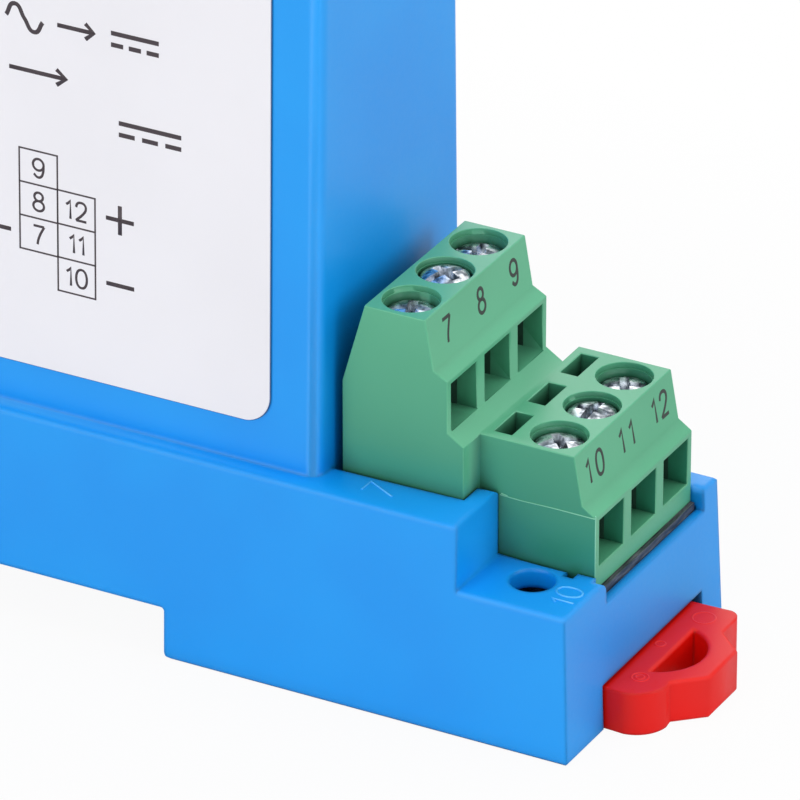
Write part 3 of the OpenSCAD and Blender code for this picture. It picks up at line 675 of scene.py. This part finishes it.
class TRANSMITTER_OT_stage(bpy.types.Operator):
    """Makes the floor, the soft lights, the white surround and the camera"""
    bl_idname = "transmitter.stage"
    bl_label = "Stage"

    def execute(self, context):
        settings = context.scene.transmitter_stage
        context.scene.view_settings.view_transform = "Standard"
        self.world(context, settings)
        self.floor(settings)
        self.lights(context)
        self.camera(context, settings)
        return {"FINISHED"}

    def world(self, context, settings):
        """A surround that is white where it is seen or mirrored, and else lights evenly."""
        world = bpy.data.worlds.new("white surround")
        world.use_nodes = True
        tree = world.node_tree
        rays = wired(tree, "LightPath").outputs
        seen = combined(tree, "MAXIMUM", rays["Is Camera Ray"], rays["Is Glossy Ray"])
        back = tree.nodes["Background"]
        tree.links.new(ranged(tree, seen, 0, 1, settings.world, 1), back.inputs["Strength"])
        back.inputs["Color"].default_value = (1, 1, 1, 1)
        context.scene.world = world

    def floor(self, settings):
        """The floor, just under the feet so that it doesn't meet their faces."""
        below = 0.02 * MM
        bm = bmesh.new()
        bmesh.ops.create_grid(bm, x_segments=8, y_segments=8, size=settings.floor)
        bmesh.ops.translate(bm, verts=bm.verts, vec=(0, 0, FLOOR_Z - below))
        floor = piece_from(bm, "floor")
        floor.data.materials.append(self.paper())

    def paper(self):
        """Pale paper that the camera sees white, with the object's shadow near its foot."""
        material, tree, shader, place = nodes_of("pale floor")
        dull, pale = (0.66, 0.66, 0.67), (0.7, 0.7, 0.71)
        shade = mixed(tree, noise(tree, place, 9, 3), dull, pale)
        tree.links.new(shade, shader.inputs["Base Color"])
        shader.inputs["Roughness"].default_value = 0.85
        # The share of white is least within the near distance, and whole from the far one on
        near, far, least = 0.05, 0.09, 0.94
        away = wired(tree, "VectorMath", {0: place}, operation="LENGTH").outputs["Value"]
        white_share = ranged(tree, away, near, far, least, 1)
        rays = wired(tree, "LightPath").outputs
        amount = combined(tree, "MULTIPLY", white_share, rays["Is Camera Ray"])
        white = wired(tree, "Emission", {"Strength": 1}).outputs["Emission"]
        lift = wired(tree, "MixShader", {"Fac": amount, 1: shader.outputs["BSDF"], 2: white})
        tree.links.new(lift.outputs["Shader"], tree.nodes["Material Output"].inputs["Surface"])
        return material

    def lights(self, context):
        """Four soft lamps that face the object."""
        # Each lamp's place and size in metres and its power in watts
        plan = (
            ("label side softbox", (-0.25, -1.1, 0.55), 1.1, 7.2),
            ("end side softbox", (1.15, 0.05, 0.5), 0.9, 4.6),
            ("top softbox", (0.1, 0.1, 1.1), 0.9, 4.2),
            ("back softbox", (-0.6, 1.0, 0.7), 1.0, 3.0),
        )
        for name, place, size, power in plan:
            lamp = bpy.data.lights.new(name, "AREA")
            lamp.size = size
            lamp.energy = power
            holder = bpy.data.objects.new(name, lamp)
            holder.location = place
            aim = LAMP_AIM - Vector(place)
            holder.rotation_euler = aim.to_track_quat("-Z", "Y").to_euler()
            context.scene.collection.objects.link(holder)

    def camera(self, context, settings):
        """The camera, placed and turned as the photograph's was."""
        camera = bpy.data.cameras.new("camera")
        camera.lens = settings.lens
        camera.sensor_width = 36
        camera.clip_start = 0.05
        camera.clip_end = 20
        holder = bpy.data.objects.new("camera", camera)
        holder.location = CAMERA_PLACE
        holder.rotation_euler = (math.radians(90 - CAMERA_DIP), 0, math.radians(CAMERA_TURN))
        context.scene.collection.objects.link(holder)
        context.scene.camera = holder


class TRANSMITTER_OT_housing(bpy.types.Operator):
    """Rounds the edges of the blue housing and its bottom cover and gives them their plastic"""
    bl_idname = "transmitter.housing"
    bl_label = "Housing"

    def execute(self, context):
        settings = context.scene.transmitter_housing
        # The housing's holes and inner corners get painted shade
        blue = moulded(
            "satin blue plastic", settings.colour, settings.deep, gloss=(0.32, 0.44),
            relief=0.04, edge=settings.edge, shade_in_hollows=0.35,
        )
        for node, name in (("housing", "moulded_housing"), ("bottom_cover", "moulded_cover")):
            piece = rounded(node, name, settings.corner)
            finished(piece, "transmitter", blue)
            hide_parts(node)
        return {"FINISHED"}


class TRANSMITTER_OT_ledge_numbers(bpy.types.Operator):
    """Raises the terminal numbers on the ledges beside the terminal blocks"""
    bl_idname = "transmitter.ledge_numbers"
    bl_label = "Ledge numbers"

    def execute(self, context):
        settings = context.scene.transmitter_housing
        # The raised numbers' paler blue is a painted highlight
        painted_highlight = moulded("pale blue edge", settings.number, settings.colour, gloss=(0.2, 0.3))
        # In millimetres, with the digits' tops towards the middle: x and y here are +Y and -X
        upper = {
            "right": [("line", ((-10.2, -33.25), (-8.86, -33.3), (-10.12, -35.65)))],
            "left": digit("1", -10.0, -35.65, 0.5, 2.3),
        }
        lower = {
            "right": digit("1", -10.02, -50.02, 0.38, 1.7) + digit("0", -8.98, -50.0, 1.35, 1.95),
            "left": digit("4", -9.6, -50.02, 1.3, 1.95),
        }
        for end in ENDS:
            meshes = [
                strokes(
                    "number", scaled(paths), settings.number_stroke, settings.number_relief,
                    (0, 0, level), (0, 1, 0), (-1, 0, 0),
                )
                for paths, level in ((upper[end], UPPER_LEDGE), (lower[end], LOWER_LEDGE))
            ]
            piece = joined("ledge_numbers_" + end, meshes, turned=end == "left")
            finished(smooth(piece), "transmitter", painted_highlight)
        return {"FINISHED"}


class TRANSMITTER_OT_terminal_blocks(bpy.types.Operator):
    """Rounds the edges of both terminal blocks and gives them their green plastic"""
    bl_idname = "transmitter.terminal_blocks"
    bl_label = "Terminal blocks"

    def execute(self, context):
        settings = context.scene.transmitter_terminals
        # The foot green paints shade at the foot of the side walls, and the hollow share paints
        # shade into the entries and wells
        green = moulded(
            "green terminal plastic", settings.colour, settings.deep, gloss=(0.3, 0.42),
            relief=0.08, foot=settings.foot, shade_in_hollows=1.0,
        )
        # The seams' paler green is partly painted highlight
        seam = moulded("green seam", settings.seam, settings.colour, gloss=(0.3, 0.4))
        # Dark sheets in the wire entries paint their shadow
        dark = moulded("entry shadow", settings.gap, gloss=(0.55, 0.65))
        for end in ENDS:
            node = "terminal_block_" + end
            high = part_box(node)[1].z
            piece = softened(
                node, "moulded_block_" + end, settings.edge, settings.edge, settings.rim,
                (high, high - DECK_DROP),
            )
            finished(piece, "transmitter", green)
            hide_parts(node)
            piece = joined("mould_seams_" + end, self.seams(), turned=end == "left")
            finished(smooth(piece), "transmitter", seam)
            piece = joined("painted_entry_shadows_" + end, self.guards(), turned=end == "left")
            finished(piece, "transmitter", dark)
        return {"FINISHED"}

    def guards(self):
        """Painted shadow: dark sheets on the far wall of each wire entry, behind its mouth, where
        the entry's depth lies in shade.
        """
        near, far = 1.6 * MM, 3.4 * MM
        proud, sunk = 0.04 * MM, 0.02 * MM
        meshes = []
        for middle, mouth, z in (
            (LOWER_POLE_Y, BLOCK_HIGH.x, LOWER_ENTRY_Z),
            (UPPER_POLE_Y, BLOCK_HIGH.x - DECK_SETBACK, UPPER_ENTRY_Z),
        ):
            for pole in POLES:
                wall = middle + pole * PITCH + ENTRY_W / 2
                dark_sheet = cuboid(
                    (mouth - far, wall - proud, z - ENTRY_H / 2),
                    (mouth - near, wall + sunk, z + ENTRY_H / 2),
                )
                meshes.append(mesh_from(dark_sheet, "dark_sheet"))
        return meshes

    def seams(self):
        """Mould seams on the lower deck's near side and down its front corner. Their paler green is
        partly painted highlight, and the one down the front corner paints that corner's bright edge.
        """
        side = LOWER_POLE_Y - BLOCK_WIDTH / 2 + 0.01 * MM
        front = BLOCK_HIGH.x - 0.03 * MM
        foot = BLOCK_LOW.z
        # Points of the side's seams along X and above the rail seat, in millimetres
        across = scaled([
            ("line", ((41.9, 12.3), (43.6, 12.24), (46.1, 12.3), (49.5, 12.28))),
            ("line", ((42.0, 12.42), (42.5, 12.36))),
        ])
        down = [("line", ((0, foot + 0.2 * MM), (0, foot + 6.1 * MM)))]
        return [
            strokes(
                "seam", across, thick=0.09 * MM, high=0.05 * MM, origin=(0, side, 0),
                right=(1, 0, 0), up=(0, 0, 1),
            ),
            strokes(
                "seam", down, thick=0.1 * MM, high=0.06 * MM,
                origin=(front, side + 0.04 * MM, 0), right=(1, 1, 0), up=(0, 0, 1),
            ),
        ]


class TRANSMITTER_OT_printed_numbers(bpy.types.Operator):
    """Prints the terminal numbers on the sloped faces of the terminal blocks"""
    bl_idname = "transmitter.printed_numbers"
    bl_label = "Printed numbers"

    def execute(self, context):
        settings = context.scene.transmitter_terminals
        ink = moulded("number ink", settings.ink, gloss=(0.5, 0.6))
        high = settings.digit_height / MM
        # Top and bottom edge of each sloped face, in millimetres
        slopes = (
            (Vector((37.17, 0, 26.27)), Vector((37.84, 0, 22.4))),
            (Vector((47.8, 0, 16.85)), Vector((48.48, 0, 13.03))),
        )
        # Each digit with its two sides along the row, in millimetres
        rows = {
            "right": (
                (("7", -5.72, -4.63), ("8", -0.6, 0.37), ("9", 4.4, 5.42)),
                (("1", -4.04, -3.6), ("0", -2.57, -1.56), ("1", 1.1, 1.55), ("1", 2.65, 3.1),
                 ("1", 6.25, 6.7), ("2", 7.45, 8.53)),
            ),
            "left": (
                (("1", -5.4, -4.95), ("2", -0.66, 0.42), ("3", 4.4, 5.42)),
                (("4", -3.4, -2.3), ("5", 1.7, 2.7), ("6", 6.8, 7.8)),
            ),
        }
        for end, decks in rows.items():
            meshes = []
            for (top, bottom), row in zip(slopes, decks):
                up = (top - bottom).normalized()
                foot = top - up * (settings.digit_place / MM + high / 2)
                paths = []
                for text, low, right in row:
                    paths += digit(text, low, 0, right - low, high)
                meshes.append(strokes(
                    "numbers", scaled(paths), settings.digit_stroke, INK_HEIGHT, foot * MM,
                    (0, 1, 0), up,
                ))
            piece = joined("printed_numbers_" + end, meshes, turned=end == "left")
            finished(smooth(piece), "transmitter", ink)
        return {"FINISHED"}


class TRANSMITTER_OT_screws(bpy.types.Operator):
    """Makes the terminal screws with their combined slot and cross"""
    bl_idname = "transmitter.screws"
    bl_label = "Terminal screws"

    def execute(self, context):
        settings = context.scene.transmitter_screws
        zinc = plated(
            "bright zinc plate", settings.colour, gloss=(0.2, 0.36), relief=0.5,
            stain=settings.stain, spots=1500,
        )
        for deck, turn in (("upper", 0), ("lower", 24)):
            for end in ENDS:
                node = f"{deck}_screws_{end}"
                piece = self.screws(node, turn, settings)
                finished(piece, "transmitter", zinc)
                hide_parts(node)
        return {"FINISHED"}

    def screws(self, node, turn, settings):
        """A deck's three screws, each turned by the deck's degrees and its own."""
        low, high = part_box(node)
        radius = (high.x - low.x) / 2
        places = [v.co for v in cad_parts[node].data.vertices]
        meshes = []
        for pole, own_turn in zip(POLES, (20, 66, 4)):
            y = (low.y + high.y) / 2 + pole * PITCH
            heights = [p.z for p in places if abs(p.y - y) < PITCH / 2]
            top = Vector(((low.x + high.x) / 2, y, max(heights)))
            length = max(heights) - min(heights)
            angle = math.radians(turn + own_turn)
            meshes.append(self.screw(top, radius, length, angle, settings))
        return smooth(joined(node.replace("screws", "zinc_screws"), meshes), 24)

    def screw(self, top, radius, length, turn, settings):
        """One screw: a domed head and a shank spun from half their outline, and its slots."""
        head, shank, tip = 1.6 * MM, 1.25 * MM, 0.3 * MM
        outline = (
            (0, 0.3 * MM), (0.3 * radius, 0.28 * MM), (0.6 * radius, 0.2 * MM),
            (radius - 0.3 * MM, 0.06 * MM), (radius - 0.1 * MM, -0.04 * MM),
            (radius, -0.2 * MM), (radius, -head), (shank, -head), (shank, tip - length),
            (shank - tip, -length), (0, -length),
        )
        bm = bmesh.new()
        points = [bm.verts.new((x, 0, z)) for x, z in outline]
        for first, second in zip(points, points[1:]):
            bm.edges.new((first, second))
        bmesh.ops.spin(
            bm, geom=bm.verts[:] + bm.edges[:], axis=(0, 0, 1), cent=(0, 0, 0),
            steps=48, angle=2 * math.pi, use_merge=True,
        )
        bmesh.ops.remove_doubles(bm, verts=bm.verts, dist=MERGE)
        bmesh.ops.recalc_face_normals(bm, faces=bm.faces)
        screw = piece_from(bm, "screw")
        # The long slot, the short one across it, and the point of the driver's tip
        slot, depth = settings.slot, settings.depth
        for width, long, deep, angle in (
            (slot, 2.4 * radius, depth, turn),
            (slot * 1.1, 1.5 * radius, depth * 1.1, turn + math.pi / 2),
            (slot * 1.5, slot * 1.5, depth * 1.6, turn + math.pi / 4),
        ):
            cutter = self.recess(width, long, deep, angle)
            cut = screw.modifiers.new("recess", "BOOLEAN")
            cut.object = cutter
            cut.operation = "DIFFERENCE"
            cut.solver = "EXACT"
            applied(screw)
            bpy.data.objects.remove(cutter)
        mesh = screw.data
        bpy.data.objects.remove(screw)
        mesh.transform(Matrix.Translation(top))
        return mesh

    def recess(self, width, long, deep, angle):
        """A tapered block, wide at the top, that cuts a slot down to a depth."""
        taper = (0.7, 0.34, 1)
        bm = cuboid((-long / 2, -width / 2, -deep), (long / 2, width / 2, deep))
        floor = [v for v in bm.verts if v.co.z < 0]
        bmesh.ops.scale(bm, verts=floor, vec=taper)
        turn = Matrix.Rotation(angle, 3, "Z")
        bmesh.ops.rotate(bm, verts=bm.verts, cent=(0, 0, 0), matrix=turn)
        return piece_from(bm, "recess")


class TRANSMITTER_OT_label(bpy.types.Operator):
    """Makes the label film and its print: a terminal table, plain numbers and signs"""
    bl_idname = "transmitter.label"
    bl_label = "Label"

    def execute(self, context):
        settings = context.scene.transmitter_label
        film = moulded(
            "label film", settings.film, tuple(c * 0.97 for c in settings.film),
            gloss=(0.42, 0.5), grain=1200, relief=0.03,
        )
        piece = softened("label_plate", "printed_label", settings.corner)
        finished(piece, "transmitter", film)
        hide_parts("label_plate")
        ink = moulded("label ink", settings.ink, gloss=(0.45, 0.6))
        finished(self.table(settings), "transmitter", ink)
        finished(self.signs(settings), "transmitter", ink)
        shadow = moulded("label edge", settings.shadow, gloss=(0.5, 0.6))
        rim = joined("label_edge", [self.outline(settings)])
        finished(smooth(rim), "transmitter", shadow)
        return {"FINISHED"}

    def face(self):
        """The foot of the label's outer face at x = 0, and the face's up direction."""
        thick = 0.2 * MM
        lean = (LABEL_HIGH.y - LABEL_LOW.y - thick) / (LABEL_HIGH.z - LABEL_LOW.z)
        return Vector((0, LABEL_LOW.y, LABEL_LOW.z)), Vector((0, lean, 1)).normalized()

    def bar(self, x0, z0, x1, z1):
        """A printed bar between two corners, in millimetres along the film and above the seat."""
        foot, up = self.face()
        low = (x0 * MM, z0 * MM - foot.z, 0)
        high = (x1 * MM, z1 * MM - foot.z, INK_HEIGHT)
        return mesh_from(laid(cuboid(low, high), foot, (1, 0, 0), up), "bar")

    def drawn(self, paths, thick):
        """Printed strokes, from paths in millimetres along the film and above the seat."""
        foot, up = self.face()
        paths = [(kind, [(x, z - foot.z / MM) for x, z in points]) for kind, points in paths]
        return strokes("print", scaled(paths), thick, INK_HEIGHT, foot, (1, 0, 0), up)

    def outline(self, settings):
        """The thin shadow line where the film's edge meets the body."""
        foot, up = self.face()
        radius, relief, inset = 2.2 * MM, 0.03 * MM, 0.1 * MM
        steps = 8
        high = (LABEL_HIGH.z - LABEL_LOW.z) / up.z
        left, right = LABEL_LOW.x + radius, LABEL_HIGH.x - radius
        points = []
        for corner, (x, z) in enumerate((
            (right, high - radius), (left, high - radius), (left, radius), (right, radius),
        )):
            for step in range(steps + 1):
                angle = math.pi / 2 * (corner + step / steps)
                points.append((x + radius * math.cos(angle), z + radius * math.sin(angle)))
        path = [("line", points + points[:1])]
        origin = foot + inset * up.cross(Vector((1, 0, 0)))
        return strokes("line", path, settings.line, relief, origin, (1, 0, 0), up)

    def table(self, settings):
        """The terminal table: two columns of three numbers, in millimetres."""
        row = 2.667
        # A digit's height and width, the width of a 1, and the space between two digits
        high, wide, narrow, space = 1.45, 0.88, 0.34, 0.44
        half = settings.line / MM / 2
        meshes = []
        paths = []
        # Each column's left side, right side, top and numbers
        columns = ((5.35, 8.5, 33.4, ("9", "8", "7")), (8.5, 11.6, 30.75, ("12", "11", "10")))
        for x0, x1, top, numbers in columns:
            for i in range(4):
                z = top - i * row
                meshes.append(self.bar(x0 - half, z - half, x1 + half, z + half))
            for x in (x0, x1):
                meshes.append(self.bar(x - half, top - 3 * row, x + half, top))
            for i, text in enumerate(numbers):
                z = top - (i + 0.5) * row - high / 2
                widths = [narrow if c == "1" else wide for c in text]
                x = (x0 + x1 - sum(widths) - space * (len(text) - 1)) / 2
                for c, width in zip(text, widths):
                    paths += digit(c, x, z, width, high)
                    x += width + space
        return joined("label_table", meshes + [self.drawn(paths, settings.stroke)])

    def signs(self, settings):
        """The signs beside the table: currents, arrows, plus and minus, in millimetres."""
        meshes = []
        # A direct-current sign is a line over three dashes
        for x, z, step in ((13.0, 43.5, 1.45), (13.6, 36.6, 1.9)):
            dash = 1.3 * step / 1.9
            meshes.append(self.bar(x, z + 0.4, x + 2 * step + dash, z + 0.75))
            for i in range(3):
                start = x + step * i
                meshes.append(self.bar(start, z - 0.5, start + dash, z - 0.15))
        wave = ("arc", ((4.4, 43.6), (5.1, 44.6), (5.9, 43.6), (6.7, 42.7), (7.4, 43.6)))
        upper_arrow = (
            ("line", ((8.6, 43.7), (11.6, 43.7))),
            ("line", ((10.9, 44.3), (11.6, 43.7), (10.9, 43.1))),
        )
        lower_arrow = (
            ("line", ((4.6, 39.6), (9.3, 39.6))),
            ("line", ((8.5, 40.2), (9.3, 39.6), (8.5, 39.0))),
        )
        plus = ("line", ((12.5, 29.5), (14.8, 29.5))), ("line", ((13.65, 28.35), (13.65, 30.65)))
        minuses = ("line", ((12.5, 24.3), (14.8, 24.3))), ("line", ((3.0, 26.7), (4.6, 26.7)))
        paths = (wave, *upper_arrow, *lower_arrow, *plus, *minuses)
        return joined("label_signs", meshes + [self.drawn(paths, settings.sign)])


class TRANSMITTER_OT_rail_clip(bpy.types.Operator):
    """Rounds the red rail clip and stamps its ejector marks"""
    bl_idname = "transmitter.rail_clip"
    bl_label = "Rail clip"

    def execute(self, context):
        settings = context.scene.transmitter_clip
        red = moulded(
            "red clip plastic", settings.colour, tuple(c * 0.86 for c in settings.colour),
            gloss=(0.32, 0.42), relief=0.04, edge=settings.fillet, sheen=0.3,
        )
        piece = softened("rail_clip", "moulded_clip", settings.edge)
        finished(piece, "clip", red)
        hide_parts("rail_clip")
        pale = moulded(
            "pale red marks", settings.mark_colour, settings.colour, gloss=(0.3, 0.4), sheen=0.4,
        )
        marks = joined("ejector_rings", [self.rings(settings)])
        finished(smooth(marks), "clip", pale)
        return {"FINISHED"}

    def rings(self, settings):
        """The ejector pins' raised rings on the clip's upper face."""
        thick, relief = 0.14 * MM, 0.03 * MM
        paths = []
        # The middle of each ring in millimetres, and its radius
        for x, y, radius in (
            (52.4, -3.71, settings.mark), (52.4, -3.71, settings.mark / 2),
            (51.5, 1.3, 0.38 * MM), (52.58, 6.17, 0.85 * MM),
        ):
            x, y = x * MM, y * MM
            paths.append(("loop", (
                (x + radius, y), (x, y + radius), (x - radius, y), (x, y - radius),
            )))
        return strokes("ring", paths, thick, relief, (0, 0, CLIP_TOP), (1, 0, 0), (0, 1, 0))


class TRANSMITTER_OT_inner_parts(bpy.types.Operator):
    """Gives the boards, the components and the small metal parts their materials"""
    bl_idname = "transmitter.inner_parts"
    bl_label = "Inner parts"

    def execute(self, context):
        # Each plastic's two shades in screen values, its gloss and its nodes
        plastics = (
            ("black moulding", (36, 36, 38), (28, 28, 30), (0.5, 0.62),
             ("board_header", "input_transformer", "isolation_transformer", "power_converter",
              "signal_chips")),
            ("capacitor sleeve", (42, 52, 96), (34, 42, 84), (0.22, 0.3),
             ("filter_capacitors",)),
            ("trimmer plastic", (30, 86, 176), (24, 76, 164), (0.36, 0.46),
             ("calibration_trimmers",)),
            ("resistor lacquer", (146, 176, 196), (128, 160, 184), (0.3, 0.4),
             ("input_resistors",)),
        )
        for name, colour, deep, gloss, nodes in plastics:
            self.dress(nodes, moulded(name, linear(colour), linear(deep), gloss=gloss))
        resin = laminate("dark board laminate", linear((34, 38, 46)), linear((104, 106, 112)))
        self.dress(("terminal_board", "signal_board"), resin)
        steel = plated("plated steel", linear((196, 198, 200)), gloss=(0.28, 0.48))
        clamps = [f"{deck}_clamps_{end}" for deck in ("upper", "lower") for end in ENDS]
        self.dress(["cover_screws"] + clamps, steel)
        tin = plated("tin plate", linear((206, 205, 202)), gloss=(0.3, 0.5))
        self.dress(("contact_pins_right", "contact_pins_left"), tin)
        self.spring(plated(
            "spring wire", linear((176, 178, 182)), gloss=(0.2, 0.36), stretch=(1, 6, 6),
        ))
        return {"FINISHED"}

    def dress(self, nodes, material):
        """Gives CAD nodes a material and leaves their shape as it is."""
        for node in nodes:
            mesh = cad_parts[node].data
            mesh.materials.clear()
            mesh.materials.append(material)

    def spring(self, wire):
        """The coil spring, which the clip presses against its peg as it slides out."""
        piece = smooth(piece_from(merged("clip_spring"), "coil_spring"))
        finished(piece, "transmitter", wire)
        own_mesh(piece)
        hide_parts("clip_spring")


class TRANSMITTER_PT_panel(bpy.types.Panel):
    """Lists the transmitter's pieces and their settings"""
    bl_idname = "TRANSMITTER_PT_panel"
    bl_label = "Transmitter"
    bl_space_type = "VIEW_3D"
    bl_region_type = "UI"
    bl_category = "Transmitter"

    def draw(self, context):
        layout = self.layout
        for operator in OPERATORS:
            layout.operator(operator.bl_idname)
        for name in SETTINGS:
            settings = getattr(context.scene, name)
            for key in settings.__annotations__:
                layout.prop(settings, key)


SETTINGS = {
    "transmitter_stage": StageSettings,
    "transmitter_housing": HousingSettings,
    "transmitter_terminals": TerminalSettings,
    "transmitter_screws": ScrewSettings,
    "transmitter_label": LabelSettings,
    "transmitter_clip": ClipSettings,
}
OPERATORS = (
    TRANSMITTER_OT_stage,
    TRANSMITTER_OT_housing,
    TRANSMITTER_OT_ledge_numbers,
    TRANSMITTER_OT_terminal_blocks,
    TRANSMITTER_OT_printed_numbers,
    TRANSMITTER_OT_screws,
    TRANSMITTER_OT_label,
    TRANSMITTER_OT_rail_clip,
    TRANSMITTER_OT_inner_parts,
)


def register():
    """Adds the settings, the operators and the panel to Blender."""
    for settings in SETTINGS.values():
        bpy.utils.register_class(settings)
    for operator in OPERATORS:
        bpy.utils.register_class(operator)
    bpy.utils.register_class(TRANSMITTER_PT_panel)
    for name, settings in SETTINGS.items():
        setattr(bpy.types.Scene, name, PointerProperty(type=settings))


def unregister():
    """Takes them out again, in the opposite order."""
    for name in SETTINGS:
        delattr(bpy.types.Scene, name)
    bpy.utils.unregister_class(TRANSMITTER_PT_panel)
    for operator in reversed(OPERATORS):
        bpy.utils.unregister_class(operator)
    for settings in reversed(list(SETTINGS.values())):
        bpy.utils.unregister_class(settings)


def main():
    """Registers the add-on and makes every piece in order."""
    register()
    bpy.ops.transmitter.stage()
    bpy.ops.transmitter.housing()
    bpy.ops.transmitter.ledge_numbers()
    bpy.ops.transmitter.terminal_blocks()
    bpy.ops.transmitter.printed_numbers()
    bpy.ops.transmitter.screws()
    bpy.ops.transmitter.label()
    bpy.ops.transmitter.rail_clip()
    bpy.ops.transmitter.inner_parts()


if __name__ == "__main__":
    main()
